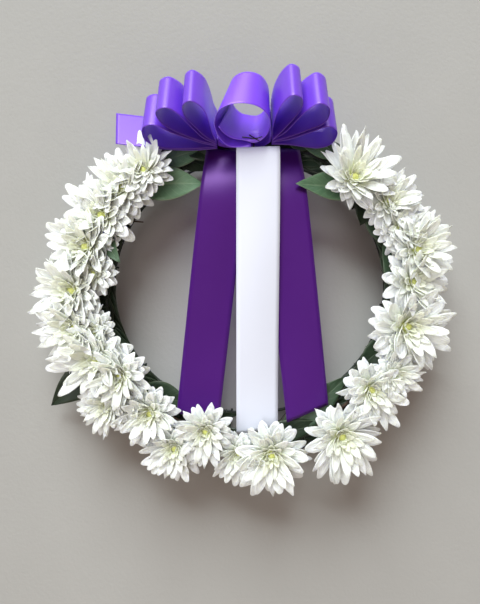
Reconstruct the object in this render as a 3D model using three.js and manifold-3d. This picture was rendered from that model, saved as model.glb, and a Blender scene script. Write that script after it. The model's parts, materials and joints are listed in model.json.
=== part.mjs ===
// Memorial wreath: a ring of white spray chrysanthemums and laurel-like leaves on a wire wreath frame,
// with a violet pull bow at the top and three ribbon streamers hung across the ring.
// Millimetres, +Z up, the front of the wreath faces -Y. The wall is the plane y = 0 and the origin is the
// point on it where the nail goes, at the underside of the outer back ring's top.
import * as THREE from 'three';
import { mergeVertices } from 'three/addons/utils/BufferGeometryUtils.js';
import Module from 'manifold-3d';

const wasm = await Module();
wasm.setup();

// ---- driving dimensions -------------------------------------------------------------------------
const GAP = 0.35;                 // clearance kept between pieces that touch

const FRAME_WIRE = 3.2;           // diameter of the ring wires
const INNER_BACK_R = 136;         // the four rings of the trough-shaped frame
const INNER_BACK_WIDE_R = 145;    // the inner back ring is bent a little wider than it is high
const INNER_FRONT_R = 149;
const OUTER_FRONT_R = 165;
const OUTER_BACK_R = 178;
const BACK_RING_Y = -4;
const FRONT_RING_Y = -24;
const CROSS_WIRE = 2.2;           // thickness of the welded cross wires
const CROSS_COUNT = 8;
const CROSS_START_DEG = 37;
const CROSS_OVERHANG = 4;         // how far each cross wire pokes past the inner and outer rings

const RING_DROP = OUTER_BACK_R - FRAME_WIRE / 2;   // from the nail down to the centre of the rings

const RIBBON_THICK = 0.8;
const BOW_RIBBON_WIDTH = 44;
const BOW_TILT_DEG = 60;          // the bow's ribbon leans back and up by this much from level
const KNOT = new THREE.Vector3(-1.3, -58, 137.2);   // front edge of the bow's middle, from the ring's centre
const BAR_BOTTOM = -12;           // the gathered middle of the bow, below its loops
const BAR_TOP = -9;
const BAR_SETBACK = 4;            // it starts this far behind the loops' front edges

const STREAMER_WIDTH = 44;
const SASH_WIDTH = 42;
const STREAMER_LEAN_DEG = 6.6;    // each violet streamer swings outward by this much

const STEM_RING_R = 157;          // leafy twigs lie between the two front rings
const STEM_Y = -26;
const TWIG_R = 1.8;
const LEAF_THICK = 1.0;
const HEAD_BASE_Y = -44;          // middle of a flower head
const HEAD_LEAN_DEG = 12;         // heads look slightly outward
const STALK_R = 1.8;
const STALK_END_Y = -9;
const PETAL_LOBES = 9;

// ---- materials ----------------------------------------------------------------------------------
const finish = (color, roughness, metalness = 0) =>
  new THREE.MeshStandardMaterial({ color, roughness, metalness });
const WIRE_GREEN = finish(0x1c2420, 0.5, 0.4);
const TIE_STEEL = finish(0x55584f, 0.45, 0.6);
const VIOLET = finish(0x6a35d8, 0.35);
const WHITE_SATIN = finish(0xeceefa, 0.35);
const PETAL_WHITE = finish(0xf3f5ec, 0.6);
const LEAF_GREEN = finish(0x3f5236, 0.5);

// ---- helpers ------------------------------------------------------------------------------------
const deg = THREE.MathUtils.degToRad;
const v3 = (x, y, z) => new THREE.Vector3(x, y, z);

// A point given by its angle round the ring (0 at the right, 90 at the top), its radius and its depth.
const onRing = (angleDeg, radius, y) =>
  v3(radius * Math.cos(deg(angleDeg)), y, radius * Math.sin(deg(angleDeg)));

function signedVolume(geometry) {
  const p = geometry.attributes.position;
  const a = v3(0, 0, 0);
  const b = v3(0, 0, 0);
  const c = v3(0, 0, 0);
  let six = 0;
  for (let i = 0; i < geometry.index.count; i += 3) {
    a.fromBufferAttribute(p, geometry.index.getX(i));
    b.fromBufferAttribute(p, geometry.index.getX(i + 1));
    c.fromBufferAttribute(p, geometry.index.getX(i + 2));
    six += a.dot(b.cross(c));
  }
  return six / 6;
}

// Merges shared vertices and turns the faces outward.
function closed(geometry) {
  const bare = geometry.clone();
  bare.deleteAttribute('normal');
  bare.deleteAttribute('uv');
  const merged = mergeVertices(bare, 1e-3);
  if (signedVolume(merged) < 0) {
    const index = merged.index;
    for (let i = 0; i < index.count; i += 3) {
      const first = index.getX(i);
      index.setX(i, index.getX(i + 2));
      index.setX(i + 2, first);
    }
  }
  merged.computeVertexNormals();
  return merged;
}

// Moves every vertex of a geometry to place(vertex).
function reshape(geometry, place) {
  const p = geometry.attributes.position;
  const point = v3(0, 0, 0);
  for (let i = 0; i < p.count; i += 1) {
    point.fromBufferAttribute(p, i);
    const moved = place(point);
    p.setXYZ(i, moved.x, moved.y, moved.z);
  }
  return geometry;
}

function solid(geometry) {
  const g = closed(geometry);
  return new wasm.Manifold(
    new wasm.Mesh({
      numProp: 3,
      vertProperties: new Float32Array(g.attributes.position.array),
      triVerts: new Uint32Array(g.index.array),
    })
  );
}

function fromSolid(made) {
  const mesh = made.getMesh();
  const g = new THREE.BufferGeometry();
  g.setAttribute('position', new THREE.BufferAttribute(new Float32Array(mesh.vertProperties), 3));
  g.setIndex(new THREE.BufferAttribute(new Uint32Array(mesh.triVerts), 1));
  g.computeVertexNormals();
  return g;
}

const joined = (geometries) => fromSolid(geometries.map(solid).reduce((all, next) => all.add(next)));
const cut = (body, tool) => fromSolid(solid(body).subtract(solid(tool)));

// A round bar from one point to another.
function rod(from, to, radius, sides = 6) {
  const along = to.clone().sub(from);
  const g = new THREE.CylinderGeometry(radius, radius, along.length(), sides);
  g.applyQuaternion(new THREE.Quaternion().setFromUnitVectors(v3(0, 1, 0), along.clone().normalize()));
  return g.translate((from.x + to.x) / 2, (from.y + to.y) / 2, (from.z + to.z) / 2);
}

// A round bar along a curve, closed at both ends.
function bentRod(points, radius, steps, sides = 6) {
  const section = new THREE.Shape().absarc(0, 0, radius, 0, 2 * Math.PI);
  const path = new THREE.CatmullRomCurve3(points);
  return new THREE.ExtrudeGeometry(section, {
    steps, curveSegments: sides / 2, bevelEnabled: false, extrudePath: path,
  });
}

// A round wire bent to an endless loop through the points.
function wireLoop(points, radius, steps, sides = 6) {
  const path = new THREE.CatmullRomCurve3(points, true);
  const frames = path.computeFrenetFrames(steps, true);
  const sheet = new THREE.PlaneGeometry(1, 1, steps, sides);
  return reshape(sheet, ({ x, y }) => {
    const at = Math.round((x + 0.5) * steps) % steps;
    const round = (y + 0.5) * 2 * Math.PI;
    return path.getPointAt(at / steps)
      .addScaledVector(frames.normals[at], radius * Math.cos(round))
      .addScaledVector(frames.binormals[at], radius * Math.sin(round));
  });
}

// A strip of ribbon whose middle line follows points in the local XY plane; its width runs along local Z.
function ribbonStrip(points, width, steps) {
  const line = new THREE.CatmullRomCurve3(points.map(([x, y]) => v3(x, y, 0)), false, 'centripetal');
  const strip = new THREE.BoxGeometry(1, RIBBON_THICK, width, steps, 1, 1);
  return reshape(strip, ({ x, y, z }) => {
    const u = THREE.MathUtils.clamp(x + 0.5, 0, 1);
    const tangent = line.getTangentAt(u);
    const middle = line.getPointAt(u);
    return v3(middle.x - tangent.y * y, middle.y + tangent.x * y, z + width / 2);
  });
}

// ---- the pieces ---------------------------------------------------------------------------------
const wreath = new THREE.Group();
const ring = new THREE.Group();          // everything below is placed from the ring's centre
ring.position.z = -RING_DROP;
wreath.add(ring);

function add(name, geometry, material, parent = ring) {
  const mesh = new THREE.Mesh(closed(geometry), material);
  mesh.name = name;
  parent.add(mesh);
}

// Wire wreath frame: four rings welded to bent cross wires.
function wireRing(radius, y) {
  return new THREE.TorusGeometry(radius, FRAME_WIRE / 2, 6, 40).rotateX(Math.PI / 2).translate(0, y, 0);
}

// The inner back ring's radius at an angle: it is a slight oval.
const innerBackRadius = (angle) =>
  1 / Math.hypot(Math.cos(deg(angle)) / INNER_BACK_WIDE_R, Math.sin(deg(angle)) / INNER_BACK_R);

function ovalRing() {
  const points = [];
  for (let angle = 0; angle < 360; angle += 15) {
    points.push(onRing(angle, innerBackRadius(angle), BACK_RING_Y));
  }
  return wireLoop(points, FRAME_WIRE / 2, 40);
}

function crossWire(angle) {
  const innerR = innerBackRadius(angle);
  const backY = BACK_RING_Y - FRAME_WIRE / 4;
  const frontY = FRONT_RING_Y + FRAME_WIRE / 4;
  const corners = [
    onRing(angle, innerR - CROSS_OVERHANG, backY),
    onRing(angle, innerR + 1, backY),
    onRing(angle, INNER_FRONT_R, frontY),
    onRing(angle, OUTER_FRONT_R, frontY),
    onRing(angle, OUTER_BACK_R - 1, backY),
    onRing(angle, OUTER_BACK_R + CROSS_OVERHANG, backY),
  ];
  const bar = new THREE.BoxGeometry(1, CROSS_WIRE, CROSS_WIRE, corners.length - 1, 1, 1);
  const sideways = onRing(angle + 90, 1, 0);
  return reshape(bar, ({ x, y, z }) => {
    const at = Math.round((x + 0.5) * (corners.length - 1));
    const before = corners[Math.max(at - 1, 0)];
    const after = corners[Math.min(at + 1, corners.length - 1)];
    const along = after.clone().sub(before).normalize();
    const outward = v3(0, 0, 0).crossVectors(along, sideways);
    return corners[at].clone().addScaledVector(sideways, y).addScaledVector(outward, z);
  });
}

function wireFrame() {
  const parts = [
    ovalRing(),
    wireRing(INNER_FRONT_R, FRONT_RING_Y),
    wireRing(OUTER_FRONT_R, FRONT_RING_Y),
    wireRing(OUTER_BACK_R, BACK_RING_Y),
  ];
  for (let i = 0; i < CROSS_COUNT; i += 1) {
    parts.push(crossWire(CROSS_START_DEG + (i * 360) / CROSS_COUNT));
  }
  return joined(parts);
}

// Bow: seven loops of one violet ribbon on a gathered middle. In the bow's own plane the first number
// runs to the right and the second up and forward, away from the ring; the ribbon's width runs down
// and forward from the back edge to the front edge.
const BOW_LOOPS = {
  bow_loop_left_low: [[-31, -5.4], [-44, -2.2], [-57, 3], [-73, 10.5], [-90, 20], [-100, 16],
    [-100, 2], [-87, -7], [-62, -9], [-31, -6.9]],
  bow_loop_left_middle: [[-31, -2.8], [-44, 4.5], [-56, 19.5], [-66.5, 33.5], [-76, 39], [-85, 34],
    [-82, 23], [-72, 14], [-57, 5.6], [-44, -0.4], [-31, -4.1]],
  bow_loop_left_high: [[-31, 0.2], [-34.5, 9], [-38.5, 28], [-43, 39], [-53, 46], [-60, 41],
    [-59.5, 31], [-51, 18], [-41.5, 6], [-31, -1.5]],
  bow_loop_centre: [[2, -5.4], [-10, -7], [-20, -5.5], [-28, 4], [-32.5, 20], [-28, 36], [-18, 42.5],
    [-5, 43.8], [8, 40], [16.5, 31], [19.3, 22], [17.3, 11], [11, 2], [4, -2.6]],
  bow_loop_right_high: [[22, 4.2], [21.9, 12], [22.7, 22], [25, 33], [31, 46], [38, 52], [46, 48],
    [47, 40], [41.5, 28.5], [36, 20], [29, 10], [22.5, 2.6]],
  bow_loop_right_middle: [[22, 1.2], [34.5, 11.5], [45, 27], [54.5, 38.5], [63, 43.5], [72, 37],
    [72, 27], [67, 20], [57, 14.8], [40, 6.5], [22, -0.1]],
  bow_loop_right_low: [[22, -1.4], [40, 3.4], [58, 11.3], [75, 18], [83, 12], [82, 1], [77, -5],
    [68, -8], [57, -7], [40, -4], [22, -2.7]],
};
const BOW_TAIL = [[-31, -8.2], [-55, -10.8], [-85, -10.5], [-108, -5], [-131, 3]];

function bowMiddle() {
  const outline = new THREE.Shape();
  outline.moveTo(-30.5, 0.8);
  outline.lineTo(-30.5, -8.6);
  outline.quadraticCurveTo(-18, BAR_BOTTOM, -4, BAR_BOTTOM);
  outline.quadraticCurveTo(12, BAR_BOTTOM, 21.5, -4.2);
  outline.lineTo(21.5, 4.8);
  outline.quadraticCurveTo(19, BAR_TOP, 10, BAR_TOP);
  outline.lineTo(-20, BAR_TOP);
  outline.quadraticCurveTo(-29, BAR_TOP, -30.5, 0.8);
  return new THREE.ExtrudeGeometry(outline, {
    depth: BOW_RIBBON_WIDTH - BAR_SETBACK, bevelEnabled: false, curveSegments: 5,
  });
}

const acrossRibbon = v3(0, Math.cos(deg(BOW_TILT_DEG)), Math.sin(deg(BOW_TILT_DEG)));
const outOfRing = v3(0, -Math.sin(deg(BOW_TILT_DEG)), Math.cos(deg(BOW_TILT_DEG)));

function addBow() {
  const bow = new THREE.Group();
  bow.position.copy(KNOT).addScaledVector(acrossRibbon, BOW_RIBBON_WIDTH);
  bow.rotation.x = deg(90 + BOW_TILT_DEG);
  ring.add(bow);
  for (const [name, points] of Object.entries(BOW_LOOPS)) {
    add(name, ribbonStrip(points, BOW_RIBBON_WIDTH, 30), VIOLET, bow);
  }
  add('bow_tail', ribbonStrip(BOW_TAIL, BOW_RIBBON_WIDTH, 8), VIOLET, bow);
  add('bow_middle', bowMiddle(), VIOLET, bow);
}

// Tie wire: an endless twist of wire round the bow's middle and the two front rings.
const TIE_X = 3.5;
const TIE_R = 0.6;
const inBow = (height, across) =>
  KNOT.clone().addScaledVector(outOfRing, height).addScaledVector(acrossRibbon, across).setX(TIE_X);
const TIE_POINTS = [
  inBow(-14.5, 2.2),
  inBow(-10, 2.2),
  inBow(-6.9, 5),
  inBow(-6.9, 22),
  inBow(-6.9, 42),
  inBow(-11, 46),
  inBow(-17, 44),
  v3(TIE_X, -20.6, 164),
  v3(TIE_X, -20.8, 154),
  v3(TIE_X, -21, 147.5),
  v3(TIE_X, -25, 142),
  v3(TIE_X, -36, 134),
];
const tieWire = (radius) => wireLoop(TIE_POINTS, radius, 36, 6);

// Streamers: three lengths of ribbon from under the bow, hung down in front of the ring. A profile is
// the depth and height of the ribbon's middle line, from its top end down.
const SASH_PROFILE = [[-41, 131], [-47, 132], [-53, 131.6], [-57, 128.5], [-59.5, 121], [-60, 104],
  [-56, 50], [-50, 0], [-42, -60], [-36, -105], [-31.5, -150]];
const VIOLET_PROFILE = [[-39.5, 127], [-45, 127.5], [-49, 124.5], [-50.5, 117], [-50, 100], [-47, 50],
  [-43, 0], [-38.5, -60], [-35.5, -105], [-32.5, -150]];

function streamer(profile, width, length, endSlope) {
  const line = new THREE.CatmullRomCurve3(profile.map(([y, z]) => v3(0, y, z)), false, 'centripetal');
  const whole = line.getLength();
  const strip = new THREE.BoxGeometry(width, RIBBON_THICK, 1, 1, 1, 16);
  return reshape(strip, ({ x, y, z }) => {
    const down = (0.5 - z) * (length + endSlope * x);
    const u = Math.min(down / whole, 1);
    const tangent = line.getTangentAt(u);
    const middle = line.getPointAt(u);
    return v3(x, middle.y - tangent.z * y, middle.z + tangent.y * y);
  });
}

function addStreamers() {
  const pierced = tieWire(TIE_R + GAP);
  const sash = streamer(SASH_PROFILE, SASH_WIDTH, 291, -0.2).translate(7.4, 0, 0);
  add('sash', cut(sash, pierced), WHITE_SATIN);
  const left = streamer(VIOLET_PROFILE, STREAMER_WIDTH, 265, 0);
  left.translate(0, 0, -125).rotateY(deg(STREAMER_LEAN_DEG)).translate(-22.8, 0, 125);
  add('streamer_left', left, VIOLET);
  const right = streamer(VIOLET_PROFILE, STREAMER_WIDTH, 266, -0.3);
  right.translate(0, 0, -116).rotateY(deg(-STREAMER_LEAN_DEG)).translate(30, 0, 116);
  add('streamer_right', right, VIOLET);
}

// Leaves: a pointed blade, folded a little along its midrib, from base to tip. It faces forward.
function leaf(base, tip, width, arch = 1.6) {
  const along = tip.clone().sub(base);
  const length = along.length();
  along.normalize();
  const across = v3(along.z, 0, -along.x).normalize();
  const front = v3(0, 0, 0).crossVectors(across, along).normalize();
  if (front.y > 0) front.negate();
  const blade = new THREE.BoxGeometry(1, 1, 1, 7, 2, 1);
  return reshape(blade, ({ x, y, z }) => {
    const u = x + 0.5;
    const half = 0.6 + (width / 2) * Math.sin(Math.PI * Math.pow(u, 0.85)) ** 0.8;
    const rise = arch * Math.sin(Math.PI * u) + Math.abs(y) * 0.1 * half + z * LEAF_THICK;
    return base.clone()
      .addScaledVector(along, u * length)
      .addScaledVector(across, 2 * y * (u > 0 && u < 1 ? half : 0.6))
      .addScaledVector(front, rise);
  });
}

// Leafy twigs: a length of stem laid in the trough between the front rings, with its leaves.
// Each leaf: angle of its base on the ring, its tip (x, depth, z), its width and, where it isn't the
// usual one, its arch.
const LEAFY_TWIGS = {
  twig_top_left: { stem: [108, 146], leaves: [[112, -34, -31, 148, 20], [127, -44, -31, 139, 24],
    [139, -47, -33, 103, 36]] },
  twig_left: { stem: [149, 186], leaves: [[171, -117, -29, 100, 22], [150, -163, -20, 98, 26],
    [177, -134, -30, 16, 24]], bare: [[152, -104, -33, 84]] },
  twig_low_left: { stem: [188, 226], leaves: [[210, -194, -20, -119, 26], [223.5, -62, -28, -120, 32],
    [188.5, -187, -20, -27, 26], [200, -128, -30, -58, 22]] },
  twig_bottom_left: { stem: [230, 262], leaves: [[238.5, -99, -20, -162, 30], [256, -14, -28.5, -149, 16]] },
  twig_bottom: { stem: [266, 292], leaves: [[281, 101, -28, -90, 32], [271, 76, -29, -140, 24]] },
  twig_low_right: { stem: [296, 326], leaves: [[310, 122, -20, -145, 34], [315, 113, -29, -92, 22]] },
  twig_right: { stem: [330, 362], leaves: [[341, 106, -31, -84, 26], [356, 127, -29, 44, 24],
    [353, 188, -20, -23, 30]] },
  twig_high_right: { stem: [5, 36], leaves: [[16, 112, -30, 84, 30], [26, 170, -20, 83, 24]] },
  twig_top_right: { stem: [39, 74], leaves: [[40, 44, -58, 97, 30, -3], [57, 50, -46, 138, 14],
    [66, 34, -31, 150, 20], [58, 90, -25, 142, 28]] },
};

function leafyTwig({ stem, leaves, bare = [] }) {
  const [start, end] = stem;
  const stations = [0, 1, 2, 3, 4].map((i) => onRing(start + ((end - start) * i) / 4, STEM_RING_R, STEM_Y));
  const parts = [bentRod(stations, TWIG_R, 6)];
  for (const [angle, x, y, z, width, arch] of leaves) {
    parts.push(leaf(onRing(angle, STEM_RING_R, STEM_Y - 1.3), v3(x, y, z), width, arch));
  }
  for (const [angle, x, y, z] of bare) {
    parts.push(rod(onRing(angle, STEM_RING_R, STEM_Y), v3(x, y, z), 1));
  }
  return joined(parts);
}

// Chrysanthemum heads: angle round the ring, distance of the eye from the ring's centre, head radius and,
// for a head that stands proud of the others, how far forward.
const HEADS = [
  [1, 163, 35], [12, 171, 36], [21, 158, 29], [31, 156, 33], [46, 148, 44, 6],
  [133, 152, 29], [143, 161, 37], [155, 164, 39], [167, 169, 39], [176, 155, 27],
  [182, 178, 39], [194, 180, 37], [197, 157, 22], [206, 168, 40], [215, 156, 33],
  [220, 185, 27], [222, 165, 25], [232, 161, 32], [245, 174, 29], [253, 157, 29],
  [266, 163, 26], [277, 169, 37], [301, 172, 38], [319, 155, 34], [328, 167, 23],
  [337, 161, 26], [345, 162, 40],
].map(([angle, distance, radius, forward = 0]) => (
  { angle, distance, radius, forward, eye: onRing(angle, distance, 0) }
));

// Places that the heads keep clear of: the bow's tail and its low right loop.
const BOW_SIDES = [[124, 164, 8], [60, 164, 6]].map(([angle, distance, radius]) => (
  { radius, eye: onRing(angle, distance, 0) }
));

// A head keeps to its own side of a line between it and each neighbour.
function keepInCell(point, head) {
  const offset = v3(point.x - head.eye.x, 0, point.z - head.eye.z);
  let scale = 1;
  for (const other of [...HEADS, ...BOW_SIDES]) {
    if (other === head) continue;
    const towards = other.eye.clone().sub(head.eye);
    const apart = towards.length();
    towards.divideScalar(apart);
    const limit = (apart * head.radius) / (head.radius + other.radius) - GAP;
    const reach = offset.dot(towards);
    if (reach > limit) scale = Math.min(scale, limit / reach);
  }
  return v3(head.eye.x + offset.x * scale, point.y, head.eye.z + offset.z * scale);
}

function flowerHead(head) {
  const { angle, radius, forward } = head;
  const baseY = HEAD_BASE_Y - forward;
  const lean = deg(HEAD_LEAN_DEG);
  const outward = onRing(angle, 1, 0);
  const axis = v3(0, -Math.cos(lean), 0).addScaledVector(outward, Math.sin(lean));
  const side = v3(0, 0, 0).crossVectors(axis, outward).normalize();
  const up = v3(0, 0, 0).crossVectors(side, axis);
  const eyeHeight = 0.45 * radius;
  const middle = head.eye.clone().setY(baseY).addScaledVector(outward, -Math.sin(lean) * eyeHeight);
  const ball = new THREE.SphereGeometry(1, 2 * PETAL_LOBES, 6);
  const dome = reshape(ball, ({ x, y, z }) => {
    const round = Math.atan2(z, x);
    const flat = Math.hypot(x, z);
    const lobe = 1 - 0.14 * flat ** 3 * (0.5 - 0.5 * Math.cos(PETAL_LOBES * round));
    const spread = radius * flat ** 0.8 * lobe;
    const rise = y > 0 ? eyeHeight * y + 0.12 * radius * flat : 0.25 * radius * y + 0.12 * radius * flat;
    const at = middle.clone()
      .addScaledVector(axis, rise)
      .addScaledVector(up, spread * Math.cos(round))
      .addScaledVector(side, spread * Math.sin(round));
    return keepInCell(at, head);
  });
  const footR = OUTER_FRONT_R + FRAME_WIRE / 2 + STALK_R + GAP;
  const stalk = bentRod([
    middle.clone().addScaledVector(axis, 2),
    middle.clone().lerp(onRing(angle, footR, 0), 0.5).setY(baseY + 7),
    onRing(angle, footR, HEAD_BASE_Y + 15),
    onRing(angle, footR, STALK_END_Y),
  ], STALK_R, 4);
  return joined([dome, stalk]);
}

// One unopened bud on its own thin stalk.
function flowerBud() {
  const at = v3(1.5, -33, -148);
  const ball = new THREE.SphereGeometry(3.6, 10, 6).translate(at.x, at.y, at.z);
  return joined([ball, rod(at, v3(1.5, -20, -156.5), 1)]);
}

add('wire_frame', wireFrame(), WIRE_GREEN);
addBow();
add('bow_tie_wire', tieWire(TIE_R), TIE_STEEL);
addStreamers();
for (const [name, twig] of Object.entries(LEAFY_TWIGS)) add(name, leafyTwig(twig), LEAF_GREEN);
HEADS.forEach((head, i) => {
  add(`flower_${String(i + 1).padStart(2, '0')}`, flowerHead(head), PETAL_WHITE);
});
add('flower_bud', flowerBud(), PETAL_WHITE);

export default wreath;
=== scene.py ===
# Memorial wreath: white spray chrysanthemums and laurel leaves bound to a wire wreath frame, with a violet
# pull bow at the top and three ribbon streamers across the ring.
import json
import math
import random

import bmesh
import bpy
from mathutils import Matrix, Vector

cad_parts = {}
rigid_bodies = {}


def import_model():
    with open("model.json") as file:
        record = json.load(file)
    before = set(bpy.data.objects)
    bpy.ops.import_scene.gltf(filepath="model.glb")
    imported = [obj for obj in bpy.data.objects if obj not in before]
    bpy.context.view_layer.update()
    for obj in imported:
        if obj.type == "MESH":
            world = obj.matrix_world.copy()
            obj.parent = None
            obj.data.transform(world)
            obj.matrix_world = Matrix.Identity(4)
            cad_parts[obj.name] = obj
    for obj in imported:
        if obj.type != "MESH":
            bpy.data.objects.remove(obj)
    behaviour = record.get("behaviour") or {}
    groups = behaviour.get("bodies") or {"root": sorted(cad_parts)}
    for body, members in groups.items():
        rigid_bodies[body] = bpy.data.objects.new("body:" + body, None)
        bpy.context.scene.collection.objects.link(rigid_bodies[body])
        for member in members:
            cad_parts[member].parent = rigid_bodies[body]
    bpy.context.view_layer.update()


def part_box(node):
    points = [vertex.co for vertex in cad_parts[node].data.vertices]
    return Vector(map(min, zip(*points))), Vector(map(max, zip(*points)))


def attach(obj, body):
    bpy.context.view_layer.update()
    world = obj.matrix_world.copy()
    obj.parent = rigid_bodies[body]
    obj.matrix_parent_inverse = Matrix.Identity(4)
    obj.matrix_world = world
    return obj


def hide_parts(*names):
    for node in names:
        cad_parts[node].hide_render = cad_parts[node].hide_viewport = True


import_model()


# ---- Wire frame --------------------------------------------------------------------------------------
# Four rings of green-enamelled steel wire, held apart as a shallow trough by eight bent cross wires that
# are welded to them. The flower stalks and twigs lie in the trough, and the outer back ring hangs on a nail.
MM = 0.001
FRAME_WIRE = 3.2 * MM
CROSS_WIRE = 2.2 * MM
INNER_BACK_R = 136 * MM
INNER_BACK_WIDE_R = 145 * MM
INNER_FRONT_R = 149 * MM
OUTER_FRONT_R = 165 * MM
OUTER_BACK_R = 178 * MM
BACK_RING_Y = -4 * MM
FRONT_RING_Y = -24 * MM
CROSS_COUNT = 8
CROSS_START = 37
CROSS_OVERHANG = 4 * MM
RING_STEP = 3       # degrees between the points of a ring
WIRE_SIDES = 2      # how finely a wire is rounded
CURVE_STEPS = 16    # fine steps between two given points of a smooth path

frame_low, frame_high = (Vector(corner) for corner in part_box("wire_frame"))
RING_CENTRE = (frame_low + frame_high) / 2
RING_CENTRE.y = 0


def on_ring(angle, radius, depth):
    """The point at an angle in degrees round the ring, from the right, at a radius and a depth."""
    turn = math.radians(angle)
    return RING_CENTRE + Vector((radius * math.cos(turn), depth, radius * math.sin(turn)))


def inner_back_radius(angle):
    """The inner back ring's radius at an angle: it is bent a little wider than it is high."""
    turn = math.radians(angle)
    return 1 / math.hypot(math.cos(turn) / INNER_BACK_WIDE_R, math.sin(turn) / INNER_BACK_R)


def smooth_path(points, steps):
    """Evenly spaced points on a smooth curve through the given ones."""
    ends = [2 * points[0] - points[1], *points, 2 * points[-1] - points[-2]]
    fine = []
    for p0, p1, p2, p3 in zip(ends, ends[1:], ends[2:], ends[3:]):
        k01, k12, k23 = ((b - a).length ** 0.5 for a, b in ((p0, p1), (p1, p2), (p2, p3)))
        leave = ((p1 - p0) / k01 - (p2 - p0) / (k01 + k12) + (p2 - p1) / k12) * k12
        arrive = ((p2 - p1) / k12 - (p3 - p1) / (k12 + k23) + (p3 - p2) / k23) * k12
        for i in range(CURVE_STEPS):
            t = i / CURVE_STEPS
            fine.append(
                p1 * (2 * t**3 - 3 * t**2 + 1)
                + leave * (t**3 - 2 * t**2 + t)
                + p2 * (3 * t**2 - 2 * t**3)
                + arrive * (t**3 - t**2)
            )
    fine.append(points[-1].copy())
    reach = [0.0]
    for a, b in zip(fine, fine[1:]):
        reach.append(reach[-1] + (b - a).length)
    path = []
    at = 0
    for i in range(steps + 1):
        goal = reach[-1] * i / steps
        while at < len(fine) - 2 and reach[at + 1] < goal:
            at += 1
        part = (goal - reach[at]) / max(reach[at + 1] - reach[at], 1e-9)
        path.append(fine[at].lerp(fine[at + 1], min(part, 1)))
    return path


def path_length(points):
    """The length of a line through the points."""
    return sum((b - a).length for a, b in zip(points, points[1:]))


def new_skin():
    """An empty mesh with a UV map."""
    bm = bmesh.new()
    bm.loops.layers.uv.new("UVMap")
    return bm


def add_wire(bm, points, radius, closed=False, sides=WIRE_SIDES, taper=0.0, material=0):
    """Adds a round bar along the points, which ends thinner by the taper."""
    curve = bpy.data.curves.new("bar", "CURVE")
    curve.dimensions = "3D"
    curve.bevel_depth = radius
    curve.bevel_resolution = sides
    curve.use_fill_caps = not closed
    spline = curve.splines.new("POLY")
    spline.points.add(len(points) - 1)
    for i, (knot, point) in enumerate(zip(spline.points, points)):
        knot.co = (*point, 1)
        knot.radius = 1 - taper * i / (len(points) - 1)
    spline.use_cyclic_u = closed
    bar = bpy.data.objects.new("bar", curve)
    mesh = bpy.data.meshes.new_from_object(bar)
    before = len(bm.faces)
    bm.from_mesh(mesh)
    bm.faces.ensure_lookup_table()
    for face in bm.faces[before:]:
        face.material_index = material
    bpy.data.objects.remove(bar)
    bpy.data.curves.remove(curve)
    bpy.data.meshes.remove(mesh)


def new_object(name, bm, materials):
    """An object of the scene, from the mesh that was built and its materials."""
    mesh = bpy.data.meshes.new(name)
    bm.to_mesh(mesh)
    bm.free()
    for material in materials:
        mesh.materials.append(material)
    made = bpy.data.objects.new(name, mesh)
    bpy.context.scene.collection.objects.link(made)
    return made


def finish_piece(name, bm, materials, nodes, thickness=0):
    """Makes a piece that rides on the wreath and takes the place of its plain solids. It is smooth but for
    the flat caps, and a piece of thin skins gets its thickness, half to each side."""
    for face in bm.faces:
        face.smooth = len(face.verts) < 5
    piece = new_object(name, bm, materials)
    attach(piece, "root")
    if nodes:
        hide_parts(*nodes)
    if thickness:
        skin = piece.modifiers.new("thickness", "SOLIDIFY")
        skin.thickness = thickness
        skin.offset = 0
    return piece


def new_material(name, roughness, **shader):
    """A material, its node tree and its Principled shader, with the constants that are given."""
    material = bpy.data.materials.new(name)
    material.use_nodes = True
    tree = material.node_tree
    principled = tree.nodes["Principled BSDF"]
    principled.inputs["Roughness"].default_value = roughness
    for socket, value in shader.items():
        principled.inputs[socket.replace("_", " ")].default_value = value
    return material, tree, principled


def add_node(tree, kind, links=(), **settings):
    """Adds a shader node with its settings, and links each input given to an output or sets its value."""
    node = tree.nodes.new(kind)
    for key, value in settings.items():
        setattr(node, key, value)
    for socket, source in links:
        if isinstance(source, bpy.types.NodeSocket):
            tree.links.new(source, node.inputs[socket])
        else:
            node.inputs[socket].default_value = source
    return node


def compute(tree, operation, *values, clamp=False):
    """The result of a Math node on the values and outputs given."""
    return add_node(tree, "ShaderNodeMath", enumerate(values), operation=operation,
                    use_clamp=clamp).outputs[0]


def map_range(tree, value, low, high, to_low=0.0, to_high=1.0, **settings):
    """An output carried over from one range of values to another."""
    return add_node(tree, "ShaderNodeMapRange", [("Value", value), ("From Min", low), ("From Max", high),
                                                 ("To Min", to_low), ("To Max", to_high)],
                    **settings).outputs["Result"]


def mix_colour(tree, factor, first, second):
    """The colour that a factor mixes from two others, by the colour sockets of a Mix node."""
    return add_node(tree, "ShaderNodeMix", [(0, factor), (6, first), (7, second)],
                    data_type="RGBA").outputs[2]


def use_bump(tree, principled, height, distance):
    """Drives a shader's normal from a height mask, whose full height is the distance in metres."""
    bump = add_node(tree, "ShaderNodeBump", [("Height", height), ("Distance", distance), ("Strength", 1.0)])
    tree.links.new(bump.outputs["Normal"], principled.inputs["Normal"])


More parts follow.
